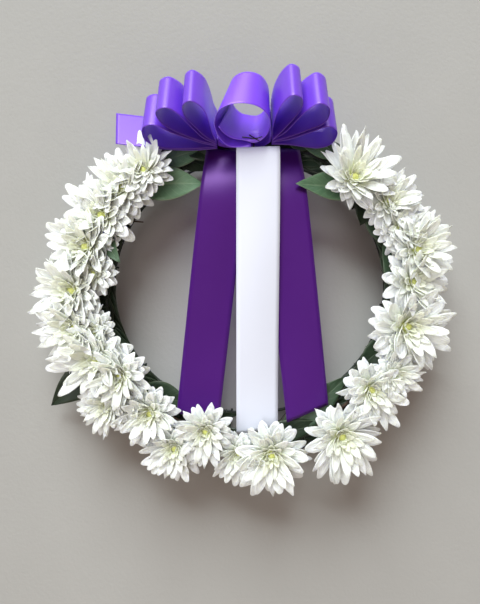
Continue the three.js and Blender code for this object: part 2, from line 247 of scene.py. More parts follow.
def mottle_group():
    """A node group that spreads soft patches over a surface, read at its Object coordinates."""
    group = bpy.data.node_groups.new("mottle", "ShaderNodeTree")
    group.interface.new_socket("Size", in_out="INPUT", socket_type="NodeSocketFloat")
    group.interface.new_socket("Softness", in_out="INPUT", socket_type="NodeSocketFloat")
    group.interface.new_socket("Mask", in_out="OUTPUT", socket_type="NodeSocketFloat")
    into = group.nodes.new("NodeGroupInput")
    out = group.nodes.new("NodeGroupOutput")
    place = add_node(group, "ShaderNodeTexCoord").outputs["Object"]
    scale = compute(group, "DIVIDE", 1.0, into.outputs["Size"])
    noise = add_node(group, "ShaderNodeTexNoise", [("Vector", place), ("Scale", scale), ("Detail", 4.0),
                                                   ("Roughness", 0.6)])
    low = compute(group, "SUBTRACT", 0.5, into.outputs["Softness"])
    high = compute(group, "ADD", 0.5, into.outputs["Softness"])
    spread = map_range(group, noise.outputs["Fac"], low, high)
    group.links.new(spread, out.inputs["Mask"])
    return group


MOTTLE = mottle_group()


def mottle(tree, size, softness=0.18):
    """The mask of soft patches of about that size in metres."""
    node = add_node(tree, "ShaderNodeGroup", node_tree=MOTTLE)
    node.inputs["Size"].default_value = size
    node.inputs["Softness"].default_value = softness
    return node.outputs["Mask"]


def mottled_material(name, roughness, patch, first, second, grain=None, softness=0.18, **shader):
    """A material in soft patches of two colours, with a grain of a size and a depth where it is given."""
    material, tree, principled = new_material(name, roughness, **shader)
    colour = mix_colour(tree, mottle(tree, patch, softness), first, second)
    tree.links.new(colour, principled.inputs["Base Color"])
    if grain:
        size, depth = grain
        use_bump(tree, principled, mottle(tree, size, softness), depth)
    return material


GREEN_ENAMEL = mottled_material("green_enamel", 0.4, 6 * MM, (0.012, 0.022, 0.016, 1),
                                (0.026, 0.04, 0.028, 1), grain=(0.8 * MM, 0.06 * MM), Coat_Weight=0.2)


def make_frame():
    """The four rings and the cross wires as one welded piece."""
    bm = bmesh.new()
    oval = [on_ring(angle, inner_back_radius(angle), BACK_RING_Y) for angle in range(0, 360, RING_STEP)]
    add_wire(bm, oval, FRAME_WIRE / 2, closed=True)
    for radius, depth in ((INNER_FRONT_R, FRONT_RING_Y), (OUTER_FRONT_R, FRONT_RING_Y),
                          (OUTER_BACK_R, BACK_RING_Y)):
        circle = [on_ring(angle, radius, depth) for angle in range(0, 360, RING_STEP)]
        add_wire(bm, circle, FRAME_WIRE / 2, closed=True)
    back = BACK_RING_Y - FRAME_WIRE / 4
    front = FRONT_RING_Y + FRAME_WIRE / 4
    for i in range(CROSS_COUNT):
        angle = CROSS_START + i * 360 / CROSS_COUNT
        inner = inner_back_radius(angle)
        bends = ((inner - CROSS_OVERHANG, back), (inner + MM, back), (inner + 3 * MM, back - 2 * MM),
                 (INNER_FRONT_R - 2 * MM, front + 3 * MM), (INNER_FRONT_R, front), (OUTER_FRONT_R, front),
                 (OUTER_FRONT_R + 2 * MM, front + 3 * MM), (OUTER_BACK_R - 3 * MM, back - 2 * MM),
                 (OUTER_BACK_R - MM, back), (OUTER_BACK_R + CROSS_OVERHANG, back))
        add_wire(bm, [on_ring(angle, radius, depth) for radius, depth in bends], CROSS_WIRE / 2)
    finish_piece("frame_wires", bm, [GREEN_ENAMEL], ["wire_frame"])


make_frame()


# ---- Blooms ------------------------------------------------------------------------------------------
# Spray chrysanthemums: each bloom is a green calyx on a bent stalk, with rings of spoon-shaped petals round
# a small yellow-green eye. The stalks are pushed into the trough outside the outer front ring.
HEAD_BASE_Y = -44 * MM
# How far a bloom's face leans outwards, at the top and sides of the wreath and at its bottom.
HEAD_LEAN = 27
BOTTOM_LEAN = 12
STALK_R = 1.6 * MM
STALK_END_Y = -9 * MM
STALK_FOOT_R = OUTER_FRONT_R + FRAME_WIRE / 2 + 2.15 * MM
PETAL_THICK = 0.35 * MM
PETAL_ROWS = 7
PETAL_COLUMNS = 4
# Half the petal's width along it, from its foot to its tip, for a round and for a pointed petal.
ROUND_PETAL = (0.3, 0.48, 0.68, 0.86, 0.98, 1.0, 0.9, 0.5)
POINTED_PETAL = (0.28, 0.5, 0.72, 0.9, 0.96, 0.84, 0.56, 0.1)
PETAL_RIBS = 31.4        # the phase of the ribs' wave across a petal's width, five ribs in all
# How far a petal bends to a side, in radians, and twists, in degrees, and how far it is hollowed across and
# curled at its tip, as shares of its half width and its length.
PETAL_BEND = 0.26
PETAL_TWIST = 20
PETAL_CUP = (0.25, 0.6)
PETAL_CURL = (-0.1, 0.16)
# Sizes of a bloom's eye and calyx as shares of the bloom's radius, and how rough the eye's florets are.
EYE_R = 0.115
EYE_HEIGHT = 0.2
FLORET_WAVE = 2600
FLORET_RELIEF = 0.15
CALYX_R = 0.2
CALYX_TOP = 0.07
CALYX_DEPTH = 0.19
# How far petals reach past the line where they meet a neighbour's. A petal is crowded by the share of its
# length that would go further. Above a spared share some are left out, and the others are shorter and
# stand up, by an angle in radians at the foot and at the tip.
CROWDING = 12 * MM
SPARED = 0.2
THINNING = 2.3
SHORTENING = 0.42
RISE_AT_FOOT = 0.35
RISE_AT_TIP = 0.6
# How much longer the petals on the outside of the wreath are, and how much shorter those on the inside.
OUTER_REACH = 0.17
INNER_CUT = 0.27
# The blooms that stand at least this many millimetres forward are this much more uneven.
UNEVEN_FROM = 6
UNEVENNESS = 1.9
# How much of the bloom's lean is taken from the petals on the inside, which lie back.
INNER_FLATTENING = 0.85
# Each ring of petals: count, length, how steeply it leaves, how steeply it ends, height of its foot,
# width and how green it is.
PETAL_RINGS = (
    (11, 1.03, 14, -8, -0.03, 0.152, 0.00),
    (13, 1.05, 24, 8, 0.01, 0.152, 0.04),
    (12, 0.98, 34, 22, 0.05, 0.148, 0.14),
    (11, 0.82, 44, 33, 0.09, 0.130, 0.32),
    (9, 0.60, 54, 45, 0.12, 0.104, 0.62),
    (9, 0.38, 64, 60, 0.14, 0.078, 0.95),
    (9, 0.24, 72, 80, 0.15, 0.056, 1.00),
)
# Angle round the ring, distance of the eye from the ring's centre, radius, and how far it stands forward.
HEADS = (
    (1, 163, 35, 0), (12, 171, 36, 0), (21, 162, 29, 0), (31, 161, 32, 0), (46, 148, 39, 6),
    (133, 155, 30, 4), (143, 161, 36, 0), (155, 164, 39, 0), (167, 169, 39, 0), (176, 156, 27, 4),
    (182, 178, 39, 0), (194, 180, 37, 0), (197, 160, 24, 4), (206, 170, 40, 0), (215, 157, 33, 4),
    (220, 185, 27, 0), (222, 165, 25, 0), (232, 162, 32, 0), (245, 178, 29, 0), (253, 151, 30, 3),
    (266, 167, 26, 0), (277, 169, 37, 0), (301, 175, 38, 0), (319, 159, 34, 0), (328, 167, 25, 4),
    (337, 161, 26, 0), (345, 162, 42, 0),
)
# What the blooms keep clear of: the bow's tail and its low right loop.
BOW_SIDES = ((124, 164, 8, 0), (60, 164, 6, 0))


def petal_material():
    """Soft white petal, yellow-green at its foot and towards the eye, with fine lengthwise ribs."""
    material, tree, principled = new_material("petal", 0.55, Subsurface_Weight=0.6,
                                              Subsurface_Scale=1.8 * MM, Specular_IOR_Level=0.2,
                                              Sheen_Weight=0.15)
    principled.inputs["Subsurface Radius"].default_value = (1.0, 1.0, 0.75)
    tint = add_node(tree, "ShaderNodeAttribute", attribute_name="tint")
    parts = add_node(tree, "ShaderNodeSeparateColor", [("Color", tint.outputs["Color"])])
    along, green, lot = (parts.outputs[name] for name in ("Red", "Green", "Blue"))
    fade = map_range(tree, along, 0.0, 0.7, 1.0, 0.0, interpolation_type="SMOOTHSTEP")
    foot = compute(tree, "MULTIPLY", fade, compute(tree, "MULTIPLY_ADD", green, 0.85, 0.25), clamp=True)
    whole = compute(tree, "MULTIPLY_ADD", green, 0.35, foot, clamp=True)
    white = mix_colour(tree, lot, (0.77, 0.8, 0.77, 1), (0.83, 0.85, 0.84, 1))
    colour = mix_colour(tree, whole, white, (0.62, 0.66, 0.2, 1))
    tree.links.new(colour, principled.inputs["Base Color"])
    uv = add_node(tree, "ShaderNodeUVMap", uv_map="UVMap")
    across = add_node(tree, "ShaderNodeSeparateXYZ", [("Vector", uv.outputs["UV"])]).outputs["X"]
    wave = compute(tree, "SINE", compute(tree, "MULTIPLY", across, PETAL_RIBS))
    use_bump(tree, principled, wave, 0.07 * MM)
    return material


PETAL = petal_material()
STALK_GREEN = mottled_material("stalk", 0.5, 4 * MM, (0.05, 0.1, 0.025, 1), (0.11, 0.17, 0.05, 1),
                               grain=(0.6 * MM, 0.15 * MM))


def room_for(head, direction):
    """How far a petal may reach from this bloom in a direction before its neighbours stop it."""
    angle, distance, radius, _ = head
    eye = on_ring(angle, distance * MM, 0)
    room = 1.0
    for other in HEADS + BOW_SIDES:
        if other is head:
            continue
        towards = on_ring(other[0], other[1] * MM, 0) - eye
        apart = towards.length
        heading = direction.dot(towards) / apart
        # A neighbour that lies to the side doesn't stop it.
        if heading > 0.2:
            room = min(room, (apart * radius / (radius + other[2]) + CROWDING) / heading)
    return room


def add_petal(bm, tint, foot, outward, axis, length, width, leave, end, green, dice):
    """One petal: a cupped, spoon-shaped blade that leaves its foot at one slope and ends at another."""
    side = axis.cross(outward)
    bend = dice.uniform(-PETAL_BEND, PETAL_BEND)
    twist = math.radians(dice.uniform(-PETAL_TWIST, PETAL_TWIST))
    cup = dice.uniform(*PETAL_CUP)
    lot = dice.random()
    pointed = dice.random() ** 1.6
    curl = dice.uniform(*PETAL_CURL)
    point = foot.copy()
    rows = []
    for row in range(PETAL_ROWS + 1):
        t = row / PETAL_ROWS
        slope = leave + (end - leave) * t**1.3
        sway = bend * t
        level = outward * math.cos(sway) + side * math.sin(sway)
        forward = level * math.cos(slope) + axis * math.sin(slope)
        across = (side - forward * side.dot(forward)).normalized()
        up = forward.cross(across)
        if up.dot(axis) < 0:
            up.negate()
        turn = twist * t
        rows.append((point.copy(), across * math.cos(turn) + up * math.sin(turn),
                     up * math.cos(turn) - across * math.sin(turn)))
        point += forward * length / PETAL_ROWS
    made = bmesh.ops.create_grid(bm, x_segments=PETAL_COLUMNS, y_segments=PETAL_ROWS, size=0.5, calc_uvs=True)
    for vert in made["verts"]:
        s = 2 * vert.co.x
        t = vert.co.y + 0.5
        row = round(t * PETAL_ROWS)
        place, across, up = rows[row]
        half = width * (ROUND_PETAL[row] + (POINTED_PETAL[row] - ROUND_PETAL[row]) * pointed)
        hollow = cup * half * (s * s - 0.3) * (1 - 0.35 * t) + curl * length * t**4
        vert.co = place + across * s * half + up * hollow
        if row == PETAL_ROWS:
            # The tip is drawn out to a blunt point.
            vert.co += (place - rows[-2][0]) * (0.35 * (1 - s * s))
        vert[tint] = (t, green, lot, 1)


def make_bloom(number, head):
    """A bloom with its calyx and stalk."""
    angle, distance, radius, forward = head
    dice = random.Random(1000 + number)
    radius *= MM
    base_y = HEAD_BASE_Y - forward * MM
    low = max(0, -math.sin(math.radians(angle)))
    lean = math.radians(HEAD_LEAN + (BOTTOM_LEAN - HEAD_LEAN) * low)
    out = (on_ring(angle, 1, 0) - RING_CENTRE).normalized()
    axis = Vector((0, -math.cos(lean), 0)) + out * math.sin(lean)
    right = axis.cross(out).normalized()
    up = right.cross(axis)
    # The eye stands forward of the middle, so a leaning bloom's middle is set inwards to bring the eye right.
    middle = on_ring(angle, distance * MM, base_y) - out * (math.sin(lean) * 0.45 * radius)
    bm = new_skin()
    tint = bm.verts.layers.float_color.new("tint")
    uneven = UNEVENNESS if forward >= UNEVEN_FROM else 1
    start = dice.uniform(0, 2 * math.pi)
    for count, long, leave, end, height, wide, green in PETAL_RINGS:
        start += 0.5 * 2 * math.pi / count
        for i in range(count):
            turn = start + (i + dice.uniform(-0.28, 0.28)) * 2 * math.pi / count
            outward = up * math.cos(turn) + right * math.sin(turn)
            stretch = OUTER_REACH if math.cos(turn) > 0 else INNER_CUT
            length = radius * long * dice.uniform(0.84, 1.08) * (1 + uneven * stretch * math.cos(turn))
            # On the side towards the ring's centre the petals lie back, so that the face stays open.
            laid_back = INNER_FLATTENING * lean * max(0, -math.cos(turn))
            first = math.radians(leave + dice.uniform(-9, 9)) - laid_back
            last = math.radians(end + dice.uniform(-12, 12)) - laid_back
            crowded = max(0, 1 - room_for(head, outward) / (length * math.cos(0.4 * first + 0.6 * last)))
            if dice.random() < THINNING * (crowded - SPARED):
                continue
            first += crowded * RISE_AT_FOOT
            last += crowded * RISE_AT_TIP
            length *= 1 - SHORTENING * crowded
            foot = middle + axis * (height * radius) + outward * (0.05 * radius)
            add_petal(bm, tint, foot, outward, axis, length, wide * radius * dice.uniform(0.85, 1.15),
                      first, last, green, dice)
    # The eye: a little dome of tight florets.
    eye = bmesh.ops.create_icosphere(bm, subdivisions=2, radius=EYE_R * radius)["verts"]
    for vert in eye:
        bump = 1 + FLORET_RELIEF * math.sin(vert.co.x * FLORET_WAVE) * math.sin(vert.co.z * FLORET_WAVE)
        vert.co = middle + axis * (EYE_HEIGHT * radius) + vert.co * bump
        vert[tint] = (0, 1, 0.5, 1)
    # The calyx: a shallow cup under the petals.
    cup = bmesh.ops.create_uvsphere(bm, u_segments=12, v_segments=8, radius=1)["verts"]
    for vert in cup:
        flat = Vector((vert.co.x, vert.co.y, 0))
        deep = vert.co.z * (CALYX_TOP if vert.co.z > 0 else CALYX_DEPTH)
        vert.co = middle + (up * flat.x + right * flat.y) * CALYX_R * radius + axis * deep * radius
        vert[tint] = (0, 1, 0, 1)
    for face in {face for vert in cup for face in vert.link_faces}:
        face.material_index = 1
    stalk = smooth_path([
        middle - axis * (0.1 * radius),
        middle.lerp(on_ring(angle, STALK_FOOT_R, 0), 0.5),
        on_ring(angle, STALK_FOOT_R, HEAD_BASE_Y + 15 * MM),
        on_ring(angle, STALK_FOOT_R, STALK_END_Y),
    ], 10)
    add_wire(bm, stalk, STALK_R, material=1)
    finish_piece(f"bloom_{number:02d}", bm, [PETAL, STALK_GREEN], [f"flower_{number:02d}"],
                 thickness=PETAL_THICK)


for bloom_number, bloom in enumerate(HEADS, start=1):
    make_bloom(bloom_number, bloom)


# ---- Bud ---------------------------------------------------------------------------------------------
# One unopened bud on a thin stalk between the blooms at the bottom, with its folded petals showing as
# shallow ribs.
BUD_R = 3.6 * MM
BUD_STALK_R = 0.9 * MM
BUD_PETALS = 8


def make_bud():
    """The bud and its stalk, which bends down to the trough."""
    bm = new_skin()
    tint = bm.verts.layers.float_color.new("tint")
    at = RING_CENTRE + Vector((1.5, -33, -148)) * MM
    ball = bmesh.ops.create_uvsphere(bm, u_segments=24, v_segments=14, radius=BUD_R)["verts"]
    for vert in ball:
        turn = math.atan2(vert.co.y, vert.co.x)
        vert.co = at + vert.co * (1 + 0.05 * math.cos(BUD_PETALS * turn))
        vert[tint] = (0.9, 0.1, 0.6, 1)
    foot = RING_CENTRE + Vector((1.5, -20, -156.5)) * MM
    bend = at.lerp(foot, 0.5) + Vector((MM, 0, 0))
    add_wire(bm, smooth_path([at, bend, foot], 6), BUD_STALK_R, material=1)
    finish_piece("small_bud", bm, [PETAL, STALK_GREEN], ["flower_bud"])


make_bud()


# ---- Leafy twigs -------------------------------------------------------------------------------------
# and waxy above. The shorter leaves lie under the blooms and hide the frame. How light each leaf's green is
# stands in part for painted light and shade: painted sheen on the leaves that catch the light, painted shade
# on the short, nearly black ones.
STEM_RING_R = 157 * MM
STEM_Y = -26 * MM
TWIG_R = 1.7 * MM
LEAF_THICK = 0.4 * MM
LEAF_ROWS = 14
LEAF_COLUMNS = 8
LEAF_ARCH = 2.5          # a leaf's usual arch, in millimetres
SHOOT_R = 1 * MM
LEAF_VEINS = 56.0        # the phase of the side veins' wave along a leaf
# The radii in millimetres that the tips of the short leaves reach: over the inner front ring, where the
# frame is bare and elsewhere, and past the outer front ring.
BARE_TIP_R = 149
INNER_TIP_R = 148
OUTER_TIP_R = 176
# Each twig: where its stem starts and ends round the ring, its leaves (angle of the foot, tip from the
# ring's centre, width, how light it is, which is partly painted light and shade, and, where it isn't the
# usual one, arch) and its bare side shoots.
TWIGS = {
    "twig_top_left": ((108, 146), ((112, -34, -31, 148, 20, 0.2), (127, -44, -31, 139, 24, 0.45),
                                   (139, -47, -33, 103, 36, 0.9), (121, -40, -14, 122, 20, 0.02),
                                   (115, -34, -32, 127, 18, 0.02), (110, -6, -27, 148, 25, 0),
                                   (110, -14, -23, 137, 25, 0.05), (113, -16, -20, 158, 22, 0)), ()),
    "twig_left": ((149, 186), ((171, -117, -29, 100, 22, 0.3), (150, -163, -20, 98, 26, 0.1),
                               (161, -126, -58, 21, 20, 0.35, 8)),
                  ((157, -108, -33, 64), (152, -112, -33, 74))),
    "twig_low_left": ((188, 226), ((207, -206, -20, -124, 36, 0.02), (223.5, -62, -28, -120, 32, 0.12),
                                   (188.5, -187, -20, -27, 26, 0.05), (200, -128, -30, -58, 22, 0.1)), ()),
    "twig_bottom_left": ((230, 262), ((238.5, -99, -20, -162, 30, 0.05), (256, -14, -28.5, -149, 16, 0.1)),
                         ()),
    "twig_bottom": ((266, 292), ((281, 101, -28, -92, 32, 0.16), (271, 76, -29, -140, 24, 0.06)), ()),
    "twig_low_right": ((296, 326), ((310, 122, -20, -145, 34, 0.05), (315, 115, -29, -94, 22, 0.1)), ()),
    "twig_right": ((330, 362), ((341, 108, -31, -86, 26, 0.08), (356, 136, -29, 44, 22, 0.3),
                                (353, 188, -20, -23, 30, 0.05)), ()),
    "twig_high_right": ((5, 36), ((16, 112, -30, 84, 30, 0.15), (26, 170, -20, 83, 24, 0.05),
                                   (37, 110, -40, 60, 28, 0)), ()),
    "twig_top_right": ((39, 74), ((40, 44, -58, 97, 30, 0.6, -3), (57, 50, -46, 138, 14, 0.35),
                                  (66, 34, -31, 150, 20, 0.2), (58, 90, -25, 142, 28, 0.1),
                                  (73, 9, -27, 147, 25, 0), (73, 16, -23, 136, 25, 0.05),
                                  (72, 18, -20, 158, 22, 0)), ()),
}
# Round the bottom the leaves leave a stretch of the frame's wires bare.
BARE_STRETCH = (246, 284)


def place_on_strip(tree):
    """The UV place on a leaf or ribbon, its part along, and the distance from the middle line."""
    place = add_node(tree, "ShaderNodeUVMap", uv_map="UVMap").outputs["UV"]
    parts = add_node(tree, "ShaderNodeSeparateXYZ", [("Vector", place)])
    off = compute(tree, "ABSOLUTE", compute(tree, "SUBTRACT", parts.outputs["X"], 0.5))
    return place, parts.outputs["Y"], off


def leaf_material():
    """Leathery leaf, dark waxy green with a pale midrib and side veins; how light it is stands partly for
    painted light and shade, and its rim carries a painted highlight.
    """
    material, tree, principled = new_material("leaf", 0.42, Specular_IOR_Level=0.3)
    _, along, off = place_on_strip(tree)
    rib = map_range(tree, off, 0.015, 0.05, 1.0, 0.0)
    slant = compute(tree, "MULTIPLY_ADD", off, -0.45, along)
    vein = compute(tree, "SINE", compute(tree, "MULTIPLY", slant, LEAF_VEINS))
    lines = compute(tree, "MULTIPLY_ADD", map_range(tree, vein, 0.86, 1.0), 0.45, rib, clamp=True)
    # The blade's green runs from nearly black to pale by how light the leaf is: painted shade on the short
    # leaves deep in the trough, painted sheen and sky reflection on the leaves that catch the light.
    tone_and_painted_light = add_node(tree, "ShaderNodeAttribute", attribute_name="tone_and_painted_light").outputs["Fac"]
    deep = mix_colour(tree, tone_and_painted_light, (0.006, 0.01, 0.005, 1), (0.14, 0.27, 0.15, 1))
    light = mix_colour(tree, tone_and_painted_light, (0.012, 0.02, 0.009, 1), (0.19, 0.34, 0.2, 1))
    veins = mix_colour(tree, tone_and_painted_light, (0.016, 0.026, 0.011, 1), (0.25, 0.4, 0.24, 1))
    # A painted highlight along the leaf's rim, brighter on the lighter leaves.
    rim_highlight = map_range(tree, off, 0.462, 0.49, to_high=0.5)
    blade = mix_colour(tree, mottle(tree, 14 * MM), deep, light)
    rim_highlight_colour = mix_colour(tree, tone_and_painted_light, (0.05, 0.06, 0.03, 1), (0.32, 0.32, 0.24, 1))
    edged = mix_colour(tree, rim_highlight, blade, rim_highlight_colour)
    colour = mix_colour(tree, lines, edged, veins)
    tree.links.new(colour, principled.inputs["Base Color"])
    use_bump(tree, principled, lines, -0.25 * MM)
    return material


LEAF = leaf_material()
BARK = mottled_material("bark", 0.6, 3 * MM, (0.035, 0.02, 0.012, 1), (0.09, 0.05, 0.028, 1),
                        grain=(0.7 * MM, 0.3 * MM))


def add_leaf(bm, tone_and_painted_light, foot, tip, width, arch, light, dice):
    """One leaf blade, folded a little along its midrib, with a gently waved edge and a drawn-out tip."""
    along = tip - foot
    length = along.length
    along.normalize()
    across = Vector((along.z, 0, -along.x)).normalized()
    front = across.cross(along).normalized()
    if front.y > 0:
        front.negate()
    wave = dice.uniform(0, 6.28)
    fold = dice.uniform(0.12, 0.3)
    made = bmesh.ops.create_grid(bm, x_segments=LEAF_COLUMNS, y_segments=LEAF_ROWS, size=0.5, calc_uvs=True)
    for vert in made["verts"]:
        s = 2 * vert.co.x
        u = vert.co.y + 0.5
        outline = math.sin(math.pi * min(u, 0.999) ** 0.85) ** 0.85 * (1 - 0.25 * u**3)
        half = 0.5 * width * outline + 0.35 * MM
        ripple = 0.05 * width * math.sin(wave + 9 * u + 1.5 * s) * abs(s)
        rise = arch * math.sin(math.pi * u) + fold * half * abs(s) ** 1.3 + ripple
        vert.co = foot + along * (u * length) + across * (s * half) + front * rise
        # How light the leaf is: partly painted light and shade.
        vert[tone_and_painted_light] = light


def make_twig(name, order):
    """A twig with its leaves and its bare side shoots."""
    (start, end), leaves, shoots = TWIGS[name]
    dice = random.Random(order)
    bm = new_skin()
    tone_and_painted_light = bm.verts.layers.float.new("tone_and_painted_light")
    for angle, x, y, z, width, light, *arch in leaves:
        foot = on_ring(angle, STEM_RING_R, STEM_Y - 1.3 * MM)
        tip = RING_CENTRE + Vector((x, y, z)) * MM
        add_leaf(bm, tone_and_painted_light, foot, tip, width * MM, (arch[0] if arch else LEAF_ARCH) * MM, light, dice)
    # Short leaves, nearly black as painted shade, fill the trough and lie along its inner edge, over the
    # wires.
    count = round((end - start) / 4)
    for i in range(count):
        angle = start + (end - start) * i / count
        bare = BARE_STRETCH[0] < angle < BARE_STRETCH[1]
        for radius in (BARE_TIP_R if bare else INNER_TIP_R, OUTER_TIP_R):
            foot = on_ring(angle, STEM_RING_R, STEM_Y + 2 * MM)
            turned = angle + dice.uniform(11, 18) * dice.choice((-1, 1))
            # Behind the bow the outside of the ring stays bare.
            if radius > STEM_RING_R / MM and abs(turned - 90) < 24:
                continue
            tip = on_ring(turned, (radius + dice.uniform(-2, 3)) * MM, dice.uniform(-20, -12) * MM)
            add_leaf(bm, tone_and_painted_light, foot, tip, dice.uniform(15, 21) * MM, 1.5 * MM, dice.uniform(0, 0.05), dice)
        if bare:
            continue
        foot = on_ring(angle, dice.uniform(150, 153) * MM, -20 * MM)
        turned = angle + dice.uniform(15, 21)
        reach = inner_back_radius(turned) + dice.uniform(0, 3) * MM
        tip = on_ring(turned, reach, dice.uniform(-15, -11) * MM)
        add_leaf(bm, tone_and_painted_light, foot, tip, dice.uniform(12, 15) * MM, 2 * MM, dice.uniform(0, 0.12), dice)
    stem = [on_ring(start + (end - start) * i / 12, STEM_RING_R, STEM_Y) for i in range(13)]
    add_wire(bm, stem, TWIG_R, taper=0.4, material=1)
    for angle, x, y, z in shoots:
        foot = on_ring(angle, STEM_RING_R, STEM_Y)
        tip = RING_CENTRE + Vector((x, y, z)) * MM
        middle = foot.lerp(tip, 0.55) + Vector((0, 0, 2.5 * MM))
        add_wire(bm, smooth_path([foot, middle, tip], 10), SHOOT_R, taper=0.5, material=1)
    finish_piece(name + "_leaves", bm, [LEAF, BARK], [name], thickness=LEAF_THICK)


for twig_order, twig_name in enumerate(TWIGS):
    make_twig(twig_name, twig_order)


# ---- Binding wire ------------------------------------------------------------------------------------
# One length of thin enamelled wire, wound once round the frame in each gap between the blooms, to hold the
# twigs and stalks down in the trough.
BINDING_R = 0.45 * MM
BINDING_BACK_Y = -1.7 * MM
BINDING_FRONT_Y = -28.6 * MM
BINDING_ADVANCE = 0.15   # degrees that the wire moves on from bend to bend
NARROWEST_GAP = 4        # degrees between two stalks that let the wire through


def make_binding():
    """One turn of wire round the frame in each gap between stalks, beginning left of the bow."""
    stalks = sorted(head[0] + (360 if head[0] < 90 else 0) for head in HEADS)
    gaps = [(a + b) / 2 for a, b in zip(stalks, stalks[1:]) if b - a >= NARROWEST_GAP]
    points = []
    for angle in gaps:
        inner = inner_back_radius(angle)
        bends = ((inner, BINDING_BACK_Y), (inner - 2.3 * MM, BACK_RING_Y),
                 (INNER_FRONT_R - 2 * MM, FRONT_RING_Y - 1.5 * MM), (INNER_FRONT_R + MM, BINDING_FRONT_Y),
                 (OUTER_FRONT_R - MM, BINDING_FRONT_Y), (OUTER_FRONT_R + 2 * MM, FRONT_RING_Y - 1.5 * MM),
                 (OUTER_BACK_R + 2.3 * MM, BACK_RING_Y), (OUTER_BACK_R, BINDING_BACK_Y))
        for i, (radius, depth) in enumerate(bends):
            points.append(on_ring(angle + BINDING_ADVANCE * i, radius, depth))
    bm = bmesh.new()
    add_wire(bm, points, BINDING_R, sides=1)
    finish_piece("binding_wire", bm, [GREEN_ENAMEL], [])


make_binding()


# ---- Bow ---------------------------------------------------------------------------------------------
# A pull bow: one length of glossy violet ribbon drawn into seven loops that stand out over a pleated
# middle, with its loose end behind the left-hand loops. A twist of wire ties it to the two front rings.
RIBBON_THICK = 0.25 * MM
BOW_WIDTH = 44 * MM
BOW_TILT = math.radians(60)
ACROSS_BOW = Vector((0, math.cos(BOW_TILT), math.sin(BOW_TILT)))
OUT_OF_BOW = Vector((0, -math.sin(BOW_TILT), math.cos(BOW_TILT)))
KNOT = RING_CENTRE + Vector((-1.3, -58, 137.2)) * MM    # the middle of the bow, at its front edge
# In the bow's plane the first number runs to the right and the second up and forward.
BOW_LOOPS = {
    "bow_loop_left_low": ((-31, -5.4), (-44, -2.2), (-57, 3), (-73, 10.5), (-90, 20), (-100, 16),
                          (-100, 2), (-87, -7), (-62, -9), (-31, -6.9)),
    "bow_loop_left_middle": ((-31, -2.8), (-44, 4.5), (-56, 19.5), (-66.5, 33.5), (-76, 39), (-85, 34),
                             (-82, 23), (-72, 14), (-57, 5.6), (-44, -0.4), (-31, -4.1)),
    "bow_loop_left_high": ((-31, 0.2), (-34.5, 9), (-38.5, 28), (-43, 39), (-53, 46), (-60, 41),
                           (-59.5, 31), (-51, 18), (-41.5, 6), (-31, -1.5)),
    "bow_loop_centre": ((2, -5.4), (-10, -7), (-20, -5.5), (-28, 4), (-32.5, 20), (-28, 36), (-18, 42.5),
                        (-5, 43.8), (8, 40), (16.5, 31), (19.3, 22), (17.6, 11), (12.5, 3.5), (4, 1.5),
                        (-8, 2.6), (-16, 4.5), (-24, 10.5), (-28.6, 18)),
    "bow_loop_right_high": ((22, 4.2), (21.9, 12), (22.7, 22), (25, 33), (31, 46), (38, 52), (46, 48),
                            (47, 40), (41.5, 28.5), (36, 20), (29, 10), (22.5, 2.6)),
    "bow_loop_right_middle": ((22, 1.2), (34.5, 11.5), (45, 27), (54.5, 38.5), (63, 43.5), (72, 37),
                              (72, 27), (67, 20), (57, 14.8), (40, 6.5), (22, -0.1)),
    "bow_loop_right_low": ((22, -1.4), (40, 3.4), (58, 11.3), (75, 18), (83, 12), (82, 1), (77, -5),
                           (68, -8), (57, -7), (40, -4), (22, -2.7)),
}
BOW_TAIL = ((-31, -8.2), (-55, -10.8), (-85, -9.5), (-109, -6), (-133, -2.5))
# The outline of the gathered middle, in the same plane, how far behind the ribbon's front edge it begins,
# and its pleats.
BAR_OUTLINE = ((-30.5, 0.8), (-30.5, -8.6), (-25, -10.6), (-18, -11.6), (-4, -12), (8, -11.2),
               (16, -8.6), (21.5, -4.2), (21.5, 4.8), (19.5, -4), (16, -8), (10, -9), (-5, -9), (-20, -9),
               (-26, -6.4), (-29.4, -2.6))
BAR_SETBACK = 4 * MM
MIDDLE_ROWS = 44
MIDDLE_CREASE = 0.5 * MM
# Towards its back edge the centre loop moves to the right, and narrows about its middle by a share.
CENTRE_SHIFT = 6.6 * MM
CENTRE_MIDDLE = KNOT.x - CENTRE_SHIFT
CENTRE_NARROWING = 0.25
# How far the end of the ribbon inside the centre loop slopes down towards its back edge.
CENTRE_DROP = 7 * MM
TAIL_CUT = 5 * MM    # how far the tail's end is cut off the square
# The ribbon's fine pleats where it meets the middle: their reach, depth and the phase of their wave.
PLEAT_REACH = 16 * MM
PLEAT_DEPTH = 0.4 * MM
PLEAT_WAVE = 31
# The pucker in the front half of the centre loop, round the tie: its place from the knot, reach, depth
# and phase, and the height below which it shows.
PUCKER_X = 5 * MM
PUCKER_REACH = 9 * MM
PUCKER_DEPTH = 3.2 * MM
PUCKER_WAVE = 44
PUCKER_TOP = 4 * MM


